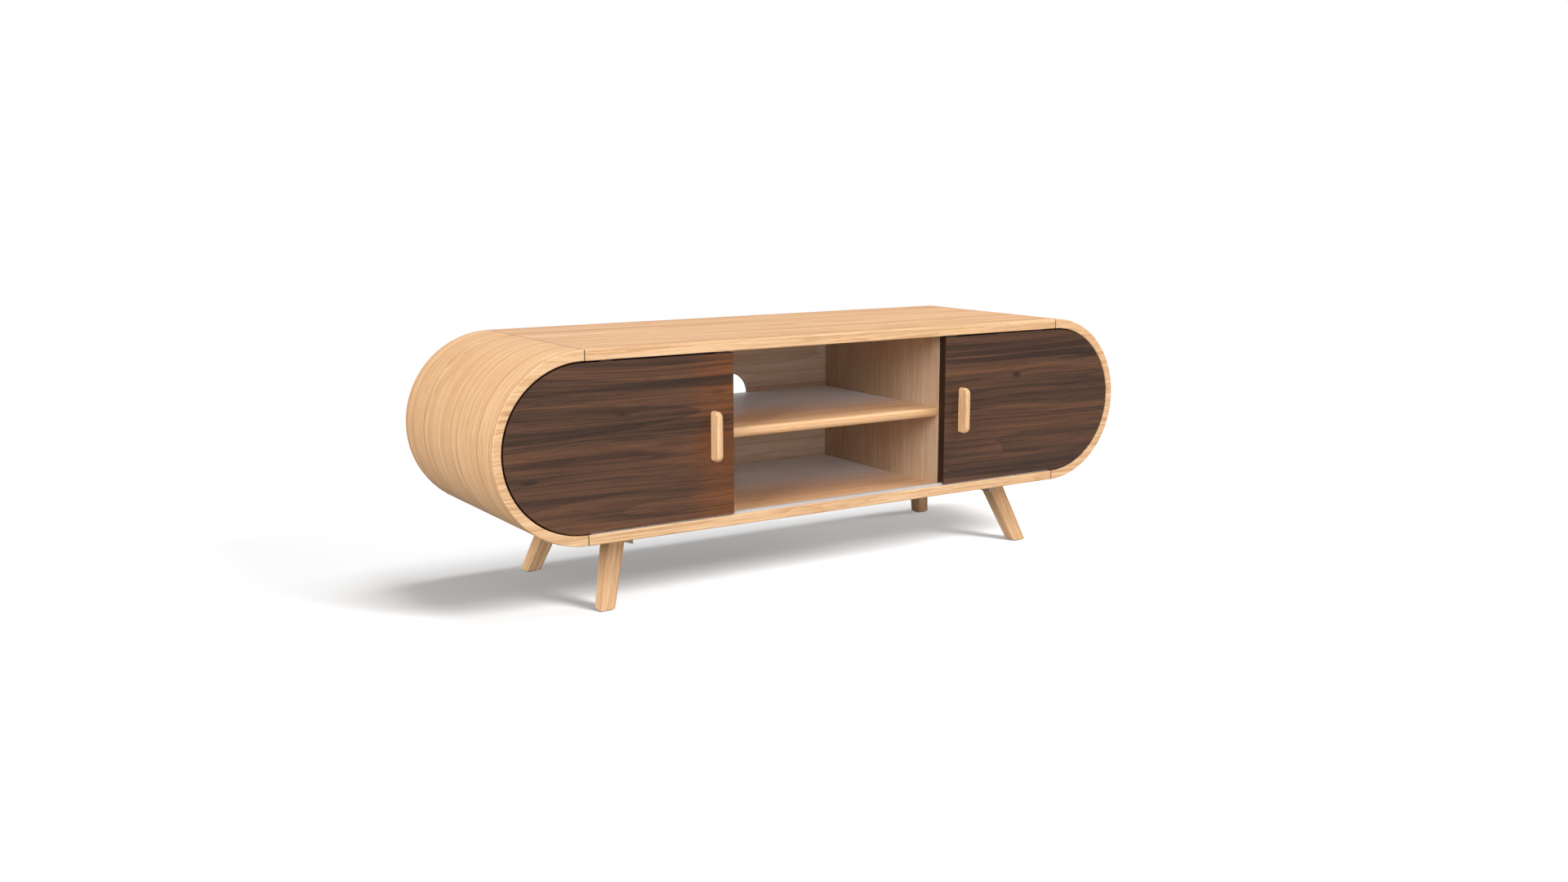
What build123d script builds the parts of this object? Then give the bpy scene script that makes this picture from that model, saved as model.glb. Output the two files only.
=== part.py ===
from build123d import *
import math
import os

# Media cabinet with half-round ends, two sliding doors and four splayed legs.
# Millimetres. X runs along the cabinet, +Y to the back, +Z up. The floor is at Z 0.

# Carcass
carcass_length = 1325.0
carcass_height = 318.0
carcass_depth = 400.0
leg_height = 124.0
board = 18.0                # panels, ends, dividers and shelf
end_shift = 3.5             # inner half-round struck this far outside the seam: the wall thins to its tip
edge_round = 2.0            # front arrises of panels and ends
seam_bevel = 1.0            # each side of the vee that marks a seam
tongue_width = 28.0         # loose tongues, across the seams and at the ends of the shelf
tongue_thickness = 5.0
tongue_inset = 30.0         # ends of a tongue from the front and back of the boards
tongue_fit = 0.1            # gap round a tongue in its slot

# Back panel
back_thickness = 6.0
back_inset = 1.0            # back panel in from the back edges of the carcass
back_lip = 8.0              # width of the rebate that takes the back panel
back_fit = 0.3              # gap between the panel and the rebate's wall
cable_hole_radius = 40.0

# Centre bay
bay_width = 462.0
divider_round = 1.5         # front arrises of a divider
divider_housing = 5.0       # let into the top and bottom panels
divider_fit = 0.1           # gap round a divider in its housing
shelf_rise = 146.5          # top of the shelf above the bay floor
shelf_inset = 2.0           # nose of the shelf behind the dividers' front edges
shelf_fit = 0.2             # gap at each end and at the back of the shelf

# Doors
door_thickness = 18.0
door_gap = 2.5              # round the edge of a closed door
door_back_gap = 2.0         # between a door and the dividers
door_lap = 1.5              # inner edge of a door past the divider's inner face
door_bevel = 0.8            # front arrises of a door
handle_width = 12.0
handle_reach = 22.0         # how far a handle stands out
handle_height = 85.0
handle_offset = 38.8        # centre of a handle from the door's inner edge
handle_corner = 11.0        # round outer corners, seen from the side
handle_round = 3.0          # long outer arrises

# Door track
rail_width = 10.0
rail_height = 4.6           # above the bottom panel
rail_sink = 4.0             # let into the bottom panel
rail_round = 0.8
rail_clearance = 0.5        # each side, in the groove of a door
channel_width = 14.0
channel_depth = 11.0        # let into the top panel
channel_wall = 2.5
channel_floor = 1.5
track_inset = 6.0           # rail and channel end this far inside the seams
slide_clearance = 0.3       # between a door's runners and what they meet
slider_length = 36.0
slider_sink = 8.0           # let into the door above its groove
slider_inset = 30.0         # centre of the inner slider from the door's inner edge
groove_depth = 5.0          # in the bottom edge of a door
guide_length = 24.0
guide_clearance = 0.5       # each side, in the channel
guide_rise = 6.5            # above the door's top edge
guide_sink = 12.0           # let into the door
guide_inset = 18.8          # centre of the inner guide from the door's inner edge
runner_end_inset = 40.0     # outer slider and guide from the seam
runner_fit = 0.1            # gap round a runner in its pocket
stop_length = 16.0

# Legs
leg_inset = 88.0            # leg's line under the bottom panel, from the seam and from the edge
splay_x = 0.325             # run for each unit of height
splay_y = 0.34
leg_top_side = 30.0
leg_foot_side = 24.0
leg_round = 4.0
block_side = 54.0
block_middle = 14.0         # thickness of a wedge block at the leg's line
block_round = 6.0
pad_thickness = 2.0
pad_inset = 2.0             # edge of a pad inside the foot

# Fasteners
hole_fit = 0.1              # gap round a screw or bolt
hole_spare = 1.0            # depth of a hole past the end of what it takes
handle_screw_radius = 2.0
handle_screw_grip = 13.0    # into the handle
handle_screw_spread = 50.0
bolt_radius = 4.0
bolt_in_leg = 30.0
bolt_in_block = 10.0

# Lines that several pieces share
outer_radius = carcass_height / 2
inner_radius = outer_radius - board
seam_x = carcass_length / 2 - outer_radius
inner_x = seam_x + end_shift
mid_z = leg_height + outer_radius
floor_z = leg_height + board
ceiling_z = leg_height + carcass_height - board
front_y = (handle_reach - carcass_depth) / 2
back_y = front_y + carcass_depth
mid_y = (front_y + back_y) / 2
back_face_y = back_y - back_inset - back_thickness
door_mid_y = front_y + door_thickness / 2
door_back_y = front_y + door_thickness
divider_y = door_back_y + door_back_gap
divider_x = (bay_width + board) / 2
shelf_z = floor_z + shelf_rise
shelf_y = divider_y + shelf_inset
door_x = bay_width / 2 - door_lap
door_low_z = floor_z + door_gap
door_high_z = ceiling_z - door_gap
handle_x = door_x + handle_offset
track_x = seam_x - track_inset
runner_x = seam_x - runner_end_inset
slider_columns = (door_x + slider_inset, runner_x)
guide_columns = (door_x + guide_inset, runner_x)
door_travel = guide_columns[0] - guide_length / 2 - slide_clearance - stop_length / 2
handle_screw_rows = (mid_z - handle_screw_spread / 2, mid_z + handle_screw_spread / 2)
tiny = 0.01


def block(low, high):
    size = Vector(high) - Vector(low)
    return Pos(*low) * Box(size.X, size.Y, size.Z, align=(Align.MIN, Align.MIN, Align.MIN))


def rod(start, end, radius):
    along = Vector(end) - Vector(start)
    shape = Cylinder(radius, along.length, align=(Align.CENTER, Align.CENTER, Align.MIN))
    return Plane(origin=start, z_dir=along) * shape


def through_y(outline, low, high):
    # An outline in X and Z, carried from low to high along Y.
    return extrude(Plane.XZ.offset(-low) * outline, high - low, dir=(0, 1, 0))


def through_x(outline, low, high):
    # An outline in Y and Z, carried from low to high along X.
    return extrude(Plane.YZ.offset(low) * outline, high - low)


def racetrack(radius):
    # The outline of the space inside the carcass, or one that keeps the same centres.
    return Pos(0, mid_z) * SlotCenterToCenter(2 * inner_x, 2 * radius)


def mirrored(shape):
    return mirror(shape, about=Plane.YZ)


def tongue(x, z, low_y, high_y, fit):
    half_width = tongue_width / 2 + fit
    half_thickness = tongue_thickness / 2 + fit
    return block((x - half_width, low_y + tongue_inset - fit, z - half_thickness),
                 (x + half_width, high_y - tongue_inset + fit, z + half_thickness))


def seam_tongues(fit=0.0):
    # A loose tongue across each of the four seams.
    rows = (floor_z - board / 2, ceiling_z + board / 2)
    return [tongue(x, z, front_y, back_y, fit) for x in (-seam_x, seam_x) for z in rows]


def shelf_tongues(fit=0.0):
    # A loose tongue between each end of the shelf and its divider.
    return [tongue(x, shelf_z - board / 2, shelf_y, back_face_y, fit) for x in (-bay_width / 2, bay_width / 2)]


def seam_vees():
    # Square bars on edge, which cut the vee at each seam, outside and in front.
    side = seam_bevel * 2 ** 0.5
    bars = []
    for x in (-seam_x, seam_x):
        for height in (leg_height, leg_height + carcass_height):
            bars.append(Pos(x, mid_y, height) * Rot(0, 45, 0) * Box(side, carcass_depth, side))
        bars.append(Pos(x, front_y, mid_z) * Rot(0, 0, 45) * Box(side, side, carcass_height))
    return bars


def back_rebate():
    return through_y(racetrack(inner_radius + back_lip), back_face_y, back_y)


def straight_panel(middle_z):
    section = Pos(mid_y, middle_z) * Rectangle(carcass_depth, board)
    section = fillet(section.vertices().sort_by(Axis.X)[:2], edge_round)
    panel = through_x(section, -seam_x, seam_x)
    panel -= back_rebate()
    panel -= seam_vees()
    panel -= seam_tongues(tongue_fit)
    panel -= divider_board(divider_fit)
    return panel - mirrored(divider_board(divider_fit))


def top_panel():
    half = channel_width / 2
    slot = block((-track_x, door_mid_y - half, ceiling_z),
                 (track_x, door_mid_y + half, ceiling_z + channel_depth))
    return straight_panel(ceiling_z + board / 2) - slot


def bottom_panel():
    half = rail_width / 2
    slot = block((-track_x, door_mid_y - half, floor_z - rail_sink),
                 (track_x, door_mid_y + half, floor_z))
    return straight_panel(floor_z - board / 2) - slot


def end_curve():
    # The right-hand end, a half ring whose wall thins towards its tip.
    disc = Pos(seam_x, mid_z) * Circle(outer_radius)
    outside = Pos(seam_x + outer_radius / 2, mid_z) * Rectangle(outer_radius, carcass_height)
    curve = through_y((disc & outside) - racetrack(inner_radius), front_y, back_y)
    rims = []
    for edge in curve.edges():
        middle = edge.center()
        if middle.Y < front_y + tiny and middle.X > seam_x + tiny:
            rims.append(edge)
    curve = fillet(rims, edge_round)
    curve -= back_rebate()
    curve -= seam_vees()
    return curve - seam_tongues(tongue_fit)


def divider_board(fit=0.0):
    # The right-hand divider before its holes, or the room that it needs in the panels.
    half = board / 2 + fit
    return block((divider_x - half, divider_y - fit, floor_z - divider_housing - fit),
                 (divider_x + half, back_face_y, ceiling_z + divider_housing + fit))


def divider():
    panel = divider_board()
    front = panel.edges().filter_by(Axis.Z).sort_by(Axis.Y)[:2]
    return fillet(front, divider_round) - shelf_tongues(tongue_fit)


def centre_shelf():
    half = bay_width / 2 - shelf_fit
    nose_y = shelf_y + board / 2
    section = Pos(nose_y, shelf_z - board / 2) * Circle(board / 2)
    depth = back_face_y - shelf_fit - nose_y
    section += Pos(nose_y + depth / 2, shelf_z - board / 2) * Rectangle(depth, board)
    return through_x(section, -half, half) - shelf_tongues(tongue_fit)


def back_panel():
    outline = racetrack(inner_radius + back_lip - back_fit)
    outline -= Pos(0, shelf_z) * Circle(cable_hole_radius)
    return through_y(outline, back_face_y, back_face_y + back_thickness)


def bottom_rail():
    height = rail_sink + rail_height
    rail = block((-track_x, door_mid_y - rail_width / 2, floor_z - rail_sink),
                 (track_x, door_mid_y + rail_width / 2, floor_z - rail_sink + height))
    return fillet(rail.faces().sort_by(Axis.Z)[-1].edges().filter_by(Axis.X), rail_round)


def top_channel():
    half = channel_width / 2
    channel = block((-track_x, door_mid_y - half, ceiling_z),
                    (track_x, door_mid_y + half, ceiling_z + channel_depth))
    half -= channel_wall
    return channel - block((-track_x, door_mid_y - half, ceiling_z),
                           (track_x, door_mid_y + half, ceiling_z + channel_depth - channel_floor))


def track_stops():
    # One stop outside each door's outer guide, and one at the middle for both inner guides.
    half = channel_width / 2 - channel_wall
    end_x = runner_x + guide_length / 2 + slide_clearance + stop_length / 2
    stops = []
    for x in (-end_x, 0, end_x):
        stops.append(block((x - stop_length / 2, door_mid_y - half, ceiling_z + channel_floor),
                           (x + stop_length / 2, door_mid_y + half, ceiling_z + channel_depth - channel_floor)))
    return stops


def door_panel():
    # The right-hand door: straight inner edge, half-round outer end.
    radius = inner_radius - door_gap
    beyond = inner_x + radius
    keep = Pos((door_x + beyond) / 2, mid_z) * Rectangle(beyond - door_x, 2 * radius)
    panel = through_y(racetrack(radius) & keep, front_y, door_back_y)
    panel = chamfer(panel.faces().sort_by(Axis.Y)[0].edges(), door_bevel)
    half = rail_width / 2 + rail_clearance
    panel -= block((door_x, door_mid_y - half, door_low_z),
                   (beyond, door_mid_y + half, door_low_z + groove_depth))
    panel -= door_sliders(runner_fit)
    panel -= door_guides(runner_fit)
    return panel - handle_screws(hole_fit, hole_spare)


def door_sliders(fit=0.0):
    # Blocks in the roof of the door's groove, which ride on the rail.
    half = rail_width / 2 + rail_clearance - runner_fit + fit
    length = slider_length + 2 * fit
    low = floor_z + rail_height + slide_clearance
    high = door_low_z + groove_depth + slider_sink + fit
    sliders = []
    for x in slider_columns:
        sliders.append(block((x - length / 2, door_mid_y - half, low),
                             (x + length / 2, door_mid_y + half, high)))
    return sliders


def door_guides(fit=0.0):
    # Round-ended tongues in the door's top edge, which run in the channel.
    width = channel_width - 2 * channel_wall - 2 * guide_clearance
    outline = SlotOverall(guide_length + 2 * fit, width + 2 * fit)
    low = door_high_z - guide_sink - fit
    high = door_high_z + guide_rise
    return [extrude(Pos(x, door_mid_y, low) * outline, high - low) for x in guide_columns]


def door_handle():
    section = Pos(front_y - handle_reach / 2, mid_z) * Rectangle(handle_reach, handle_height)
    outer = section.vertices().sort_by(Axis.X)[:2]
    section = fillet(outer, handle_corner)
    half = handle_width / 2
    bar = through_x(section, handle_x - half, handle_x + half)
    rims = []
    for edge in bar.edges():
        off_door = edge.center().Y < front_y - tiny
        on_side = abs(abs(edge.center().X - handle_x) - half) < tiny
        if off_door and on_side:
            rims.append(edge)
    return fillet(rims, handle_round) - handle_screws(hole_fit, hole_spare)


def handle_screws(fit=0.0, spare=0.0):
    # Countersunk screws from the back of the door into the handle.
    head_radius = handle_screw_radius * 2
    head = Cone(handle_screw_radius + fit, head_radius + fit, handle_screw_radius,
                align=(Align.CENTER, Align.CENTER, Align.MAX))
    screws = []
    for z in handle_screw_rows:
        tip = (handle_x, front_y - handle_screw_grip - spare, z)
        shank = rod(tip, (handle_x, door_back_y - tiny, z), handle_screw_radius + fit)
        screws.append(shank + Plane(origin=(handle_x, door_back_y, z), z_dir=(0, 1, 0)) * head)
    return screws


# Each leg leans out towards its own corner: signs along X and Y, and the corner's name.
leg_corners = {(-1, -1): "front_left", (1, -1): "front_right", (-1, 1): "back_left", (1, 1): "back_right"}


def leg_point(side_x, side_y, height):
    # A point on the leg's line at this height above the floor.
    drop = leg_height - height
    x = side_x * (seam_x - leg_inset + splay_x * drop)
    y = mid_y + side_y * (carcass_depth / 2 - leg_inset + splay_y * drop)
    return Vector(x, y, height)


def leg_section(side_x, side_y):
    # The plane square to the leg's line, where that line meets the block.
    top = leg_point(side_x, side_y, leg_height - block_middle)
    return Plane(origin=top, x_dir=(1, 0, splay_x * side_x), z_dir=top - leg_point(side_x, side_y, 0))


def leg_seat(side_x, side_y):
    # The underside of a block: it follows the splay along X and is level along Y.
    top = leg_point(side_x, side_y, leg_height - block_middle)
    return Plane(origin=top, z_dir=(-splay_x * side_x, 0, 1))


def leg(side_x, side_y):
    # A rounded square that tapers along the leg's line, cut to its block and level above its pad.
    section = leg_section(side_x, side_y)
    spare = leg_top_side
    length = (section.origin - leg_point(side_x, side_y, 0)).length
    narrowing = (leg_top_side - leg_foot_side) / length
    wide = leg_top_side + narrowing * spare
    taper = math.degrees(math.atan(narrowing / 2))
    shaft = extrude(section.offset(spare) * Rectangle(wide, wide), -length - 2 * spare, taper=taper)
    ends = shaft.faces().filter_by(section)
    arrises = [edge for edge in shaft.edges() if edge not in ends.edges()]
    shaft = fillet(arrises, leg_round)
    shaft = split(shaft, leg_seat(side_x, side_y), keep=Keep.BOTTOM)
    shaft = split(shaft, Plane.XY.offset(pad_thickness), keep=Keep.TOP)
    return shaft - leg_bolt(side_x, side_y, hole_fit, hole_spare)


def leg_block(side_x, side_y):
    seat = leg_seat(side_x, side_y)
    top = Pos(seat.origin.X, seat.origin.Y, leg_height) * RectangleRounded(block_side, block_side, block_round)
    wedge = split(extrude(top, -leg_height), seat, keep=Keep.TOP)
    return wedge - leg_bolt(side_x, side_y, hole_fit, hole_spare)


def leg_bolt(side_x, side_y, fit=0.0, spare=0.0):
    section = leg_section(side_x, side_y)
    low = section.origin - section.z_dir * (bolt_in_leg + spare)
    high = section.origin + section.z_dir * (bolt_in_block + spare)
    return rod(low, high, bolt_radius + fit)


def foot_pad(side_x, side_y):
    foot = leg_point(side_x, side_y, pad_thickness)
    side = leg_foot_side - 2 * pad_inset
    outline = Pos(foot.X, foot.Y, 0) * RectangleRounded(side, side, leg_round - pad_inset / 2)
    return extrude(outline, pad_thickness)


def carcass_nodes():
    return {
        "top_panel": top_panel(),
        "bottom_panel": bottom_panel(),
        "right_end_curve": end_curve(),
        "left_end_curve": mirrored(end_curve()),
        "right_divider": divider(),
        "left_divider": mirrored(divider()),
        "centre_shelf": centre_shelf(),
        "back_panel": back_panel(),
        "bottom_rail": bottom_rail(),
        "top_channel": top_channel(),
        "track_stops": Compound(track_stops()),
        "seam_tongues": Compound(seam_tongues()),
        "shelf_tongues": Compound(shelf_tongues()),
    }


def door_nodes():
    pieces = {
        "door_panel": door_panel(),
        "door_handle": door_handle(),
        "handle_screws": Compound(handle_screws()),
        "door_sliders": Compound(door_sliders()),
        "door_guides": Compound(door_guides()),
    }
    nodes = {}
    for name, piece in pieces.items():
        nodes["right_" + name] = piece
        nodes["left_" + name] = mirrored(piece)
    return nodes


def leg_nodes():
    nodes = {}
    bolts = []
    for corner, name in leg_corners.items():
        nodes[name + "_leg"] = leg(*corner)
        nodes[name + "_leg_block"] = leg_block(*corner)
        nodes[name + "_foot_pad"] = foot_pad(*corner)
        bolts.append(leg_bolt(*corner))
    nodes["leg_bolts"] = Compound(bolts)
    return nodes


os.makedirs("parts", exist_ok=True)
for node, shape in {**carcass_nodes(), **door_nodes(), **leg_nodes()}.items():
    export_step(shape, "parts/" + node + ".step")
print("each door travels", round(door_travel, 2), "mm")
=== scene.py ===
import math
import bmesh
import bpy
from mathutils import Matrix, Vector


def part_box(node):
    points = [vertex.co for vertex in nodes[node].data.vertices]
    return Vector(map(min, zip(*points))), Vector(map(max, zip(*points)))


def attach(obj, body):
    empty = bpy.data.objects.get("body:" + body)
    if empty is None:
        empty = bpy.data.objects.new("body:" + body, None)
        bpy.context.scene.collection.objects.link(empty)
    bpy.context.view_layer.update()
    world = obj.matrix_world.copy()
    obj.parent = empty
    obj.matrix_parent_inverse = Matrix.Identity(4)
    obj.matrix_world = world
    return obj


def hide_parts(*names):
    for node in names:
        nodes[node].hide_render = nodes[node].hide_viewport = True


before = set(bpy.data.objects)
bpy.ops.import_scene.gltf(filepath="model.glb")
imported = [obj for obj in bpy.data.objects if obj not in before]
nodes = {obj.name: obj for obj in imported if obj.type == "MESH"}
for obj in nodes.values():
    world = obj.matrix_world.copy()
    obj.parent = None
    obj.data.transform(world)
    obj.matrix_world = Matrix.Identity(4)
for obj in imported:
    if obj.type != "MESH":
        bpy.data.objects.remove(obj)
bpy.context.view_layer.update()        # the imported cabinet: metres, front towards -Y, floor at Z 0
tiny = 0.00001
print("frame loaded,", len(nodes), "pieces")

# Lines of the cabinet, read from the frame
topLow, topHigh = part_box("top_panel")
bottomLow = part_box("bottom_panel")[0]
doorLow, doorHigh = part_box("right_door_panel")
backLow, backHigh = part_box("back_panel")
frontY = topLow.y
backY = topHigh.y
seamX = topHigh.x
board = topHigh.z - topLow.z
midZ = (topHigh.z + bottomLow.z) / 2
outerRadius = (topHigh.z - bottomLow.z) / 2
innerRadius = outerRadius - board
doorRadius = (doorHigh.z - doorLow.z) / 2
innerX = doorHigh.x - doorRadius        # centre of the inner half-round, a little outside the seam
rebateY = backLow.y
rebateFit = 0.0003
rebateRadius = (backHigh.z - backLow.z) / 2 + rebateFit
corners = ("front_left", "front_right", "back_left", "back_right")


# Materials

def linear(hexColour):
    parts = [int(hexColour[i:i + 2], 16) / 255 for i in (1, 3, 5)]
    return [c / 12.92 if c <= 0.04045 else ((c + 0.055) / 1.055) ** 2.4 for c in parts] + [1.0]


def addNode(tree, kind, settings=None, inputs=None):
    # Inputs are a dictionary by name or number, or a list in the node's own order.
    node = tree.nodes.new(kind)
    for key, value in (settings or {}).items():
        if key == "stops":        # a ramp's colours, dark to light
            while len(node.color_ramp.elements) < len(value):
                node.color_ramp.elements.new(0.5)
            for element, (position, colour) in zip(node.color_ramp.elements, value):
                element.position = position
                element.color = linear(colour)
        else:
            setattr(node, key, value)
    if isinstance(inputs, list):
        inputs = dict(enumerate(inputs))
    for key, value in (inputs or {}).items():
        if isinstance(value, bpy.types.NodeSocket):
            tree.links.new(value, node.inputs[key])
        else:
            node.inputs[key].default_value = value
    return node


def newMaterial(name):
    material = bpy.data.materials.new(name)
    material.use_nodes = True
    tree = material.node_tree
    tree.nodes.clear()
    shader = addNode(tree, "ShaderNodeBsdfPrincipled")
    addNode(tree, "ShaderNodeOutputMaterial", inputs={"Surface": shader.outputs["BSDF"]})
    return material, tree, shader


# Settings that many nodes share
plus = {"operation": "ADD"}
minus = {"operation": "SUBTRACT"}
times = {"operation": "MULTIPLY"}
timesPlus = {"operation": "MULTIPLY_ADD"}
unsigned = {"operation": "ABSOLUTE"}
howFar = {"operation": "LENGTH"}
larger = {"operation": "MAXIMUM"}
eased = {"interpolation_type": "SMOOTHSTEP"}
inColour = {"data_type": "RGBA"}

# What every wood shares: the parts of its noises that show, a knot's reach and core in half-sizes of the
# knot, the change in roughness along the fibres, and the depth of its pores in metres
grainLook = {
    "noiseRoughness": 0.55, "poreRange": (0.55, 0.75), "fibreRange": (0.3, 0.7),
    "knotReach": 4.0, "knotCore": (0.2, 1.3),
    "glossChange": 0.05, "fibreRelief": -0.5, "reliefDepth": 0.0004,
}
mm = 1000        # in a metre


def grainNoise(tree, place, size):
    # Noise drawn out along the grain; size is its length and width in mm and its detail.
    length, width, detail = size
    scale = (mm / length, mm / width, mm / width)
    spread = addNode(tree, "ShaderNodeVectorMath", times, [place, scale]).outputs[0]
    return addNode(tree, "ShaderNodeTexNoise", {"noise_dimensions": "3D"}, {
        "Vector": spread, "Scale": 1.0, "Detail": detail, "Roughness": grainLook["noiseRoughness"]})


def partedGrain(tree, place, look):
    # The grain wanders, and parts round each knot.
    drift = grainNoise(tree, place, look["driftSize"]).outputs["Color"]
    centred = addNode(tree, "ShaderNodeVectorMath", minus, [drift, (0.5, 0.5, 0.5)]).outputs[0]
    shift = look["drift"] / mm
    moved = addNode(tree, "ShaderNodeVectorMath", times, [centred, (0, shift, shift)]).outputs[0]
    flow = addNode(tree, "ShaderNodeVectorMath", plus, [place, moved]).outputs[0]
    cores = []
    for knot in look.get("knots", ()):
        offset = addNode(tree, "ShaderNodeVectorMath", minus, [place, knot["place"]]).outputs[0]
        halfSizes = (1 / knot["half"][0], 1 / knot["half"][1], 0)
        near = addNode(tree, "ShaderNodeVectorMath", times, [offset, halfSizes]).outputs[0]
        away = addNode(tree, "ShaderNodeVectorMath", howFar, [near]).outputs["Value"]
        weight = addNode(tree, "ShaderNodeMapRange", eased, [away, 0.0, grainLook["knotReach"], 1.0, 0.0])
        push = addNode(tree, "ShaderNodeVectorMath", {"operation": "SCALE"}, {
            0: (0, knot["push"], 0), "Scale": weight.outputs[0]})
        flow = addNode(tree, "ShaderNodeVectorMath", plus, [flow, push.outputs[0]]).outputs[0]
        core = addNode(tree, "ShaderNodeMapRange", eased, [away, *grainLook["knotCore"], knot["share"], 0.0])
        cores.append(core.outputs[0])
    return flow, cores


def heartwood(tree, place, tone, look):
    # Warmer wood in one place along the leaf, most in its lighter tones.
    alongX = addNode(tree, "ShaderNodeSeparateXYZ", inputs=[place]).outputs[0]
    offset = addNode(tree, "ShaderNodeMath", minus, [alongX, look["heartAt"]]).outputs[0]
    away = addNode(tree, "ShaderNodeMath", unsigned, [offset]).outputs[0]
    near = addNode(tree, "ShaderNodeMapRange", eased, [
        away, 0.0, look["heartHalf"], look["heartShare"], 0.0]).outputs[0]
    return addNode(tree, "ShaderNodeMath", times, [near, tone]).outputs[0]


def bayPaintedSheen(tree, look):
    # Painted reflection in the open bay: a grey sheen and a grey colour mix that grow towards the back, and
    # none beyond its sides: its sheen weight and its colour share.
    place = addNode(tree, "ShaderNodeTexCoord").outputs["Object"]
    axes = addNode(tree, "ShaderNodeSeparateXYZ", inputs=[place]).outputs
    aside = addNode(tree, "ShaderNodeMath", unsigned, [axes[0]]).outputs[0]
    grown = []
    for most, least in ((look["paintedSheen"], look["paintedSheenLeast"]), (look["paintedSheenCover"], 0.0)):
        inBay = addNode(tree, "ShaderNodeMapRange", eased, [aside, *look["paintedSheenSides"], most, least])
        inDepth = addNode(tree, "ShaderNodeMapRange", eased, [
            axes[1], *look["paintedSheenRange"], least, inBay.outputs[0]])
        grown.append(inDepth.outputs[0])
    return grown


def woodMaterial(name, look, turn=None):
    material, tree, shader = newMaterial(name)
    if turn is None:        # the piece's own attribute: X along the grain
        place = addNode(tree, "ShaderNodeAttribute", {"attribute_name": "grain"}).outputs["Vector"]
    else:
        objectPlace = addNode(tree, "ShaderNodeTexCoord").outputs["Object"]
        turned = addNode(tree, "ShaderNodeMapping", inputs={"Vector": objectPlace, "Rotation": turn})
        place = turned.outputs[0]
    flow, knotCores = partedGrain(tree, place, look)

    # Tone: broad bands, growth rings as steps between heights of one noise, and fine fibres.
    bands = grainNoise(tree, flow, look["bandSize"]).outputs[0]
    figure = grainNoise(tree, flow, look["figureSize"]).outputs[0]
    fibres = grainNoise(tree, flow, look["fibreSize"]).outputs[0]
    raised = addNode(tree, "ShaderNodeMath", times, [figure, look["ringCount"]]).outputs[0]
    rings = addNode(tree, "ShaderNodeMath", {"operation": "FRACT"}, [raised]).outputs[0]
    shares = ((bands, look["bandShare"]), (rings, look["ringShare"]), (fibres, look["fibreShare"]))
    tone = 0.5 - sum(share for source, share in shares) / 2
    for source, share in shares:
        tone = addNode(tree, "ShaderNodeMath", timesPlus, [source, share, tone]).outputs[0]
    colour = addNode(tree, "ShaderNodeValToRGB", {"stops": look["stops"]}, [tone]).outputs["Color"]

    # Colours laid over the tone, each with its share: heart, streaks, knots, pores, and the painted grey
    # reflection at the back of the bay.
    layers = []
    if "heart" in look:
        layers.append((heartwood(tree, place, tone, look), look["heart"]))
    streaks = grainNoise(tree, flow, look["streakSize"]).outputs[0]
    dark = addNode(tree, "ShaderNodeMapRange", eased, [
        streaks, *look["streakRange"], 0.0, look["streakShare"]]).outputs[0]
    for share in [dark] + knotCores:
        layers.append((share, look["streak"]))
    pores = grainNoise(tree, flow, look["poreSize"]).outputs[0]
    dashes = addNode(tree, "ShaderNodeMapRange", eased, [
        pores, *grainLook["poreRange"], 0.0, look["poreShare"]]).outputs[0]
    layers.append((dashes, look["pore"]))
    # painted reflection: a grey sheen and a grey base colour towards the back of the bay
    if "paintedSheen" in look:
        sheen, cover = bayPaintedSheen(tree, look)
        layers.append((cover, look["paintedSheenTint"]))
        tree.links.new(sheen, shader.inputs["Sheen Weight"])
        shader.inputs["Sheen Tint"].default_value = linear(look["paintedSheenTint"])
    for share, over in layers:
        colour = addNode(tree, "ShaderNodeMix", inColour, {0: share, 6: colour, 7: linear(over)}).outputs[2]

    change = grainLook["glossChange"]
    gloss = addNode(tree, "ShaderNodeMapRange", inputs=[
        fibres, *grainLook["fibreRange"], look["roughness"] + change, look["roughness"] - change])
    relief = addNode(tree, "ShaderNodeMath", timesPlus, [fibres, grainLook["fibreRelief"], dashes])
    bump = addNode(tree, "ShaderNodeBump", {"invert": True}, {
        "Strength": look["bump"], "Distance": grainLook["reliefDepth"], "Height": relief.outputs[0]})
    tree.links.new(colour, shader.inputs["Base Color"])
    tree.links.new(gloss.outputs[0], shader.inputs["Roughness"])
    tree.links.new(bump.outputs[0], shader.inputs["Normal"])
    shader.inputs["IOR"].default_value = look["ior"]
    shader.inputs["Specular IOR Level"].default_value = look["specular"]
    return material


lyingTurn = (0, 0, 0)        # for CAD pieces, which have no grain of their own
standingTurn = (0, math.pi / 2, 0)

# Oak veneer, sanded and matt lacquered: pale straw with long quiet streaks and a dull sheen.
# Oak's pores are about 0.3 mm wide; here they are 1.6 mm, so that they show.
oakLook = {
    "driftSize": (1000, 110, 1), "drift": 8,
    "bandSize": (1600, 24, 3), "bandShare": 1.2,
    "figureSize": (1100, 60, 1), "ringCount": 12, "ringShare": 0.3,
    "fibreSize": (420, 3.4, 4), "fibreShare": 1.1,
    "stops": [(0.1, "#CB966A"), (0.35, "#DDAE83"), (0.6, "#E9BE92"), (0.9, "#F3CDA3")],
    "streakSize": (1800, 12, 3), "streak": "#C0875A", "streakRange": (0.52, 0.66), "streakShare": 0.65,
    "poreSize": (30, 1.6, 1), "pore": "#B98A5E", "poreShare": 0.45,
    "roughness": 0.62, "bump": 0.15, "ior": 1.5, "specular": 0.08,
}
oakVeneer = woodMaterial("oakVeneerLacquered", oakLook)
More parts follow.
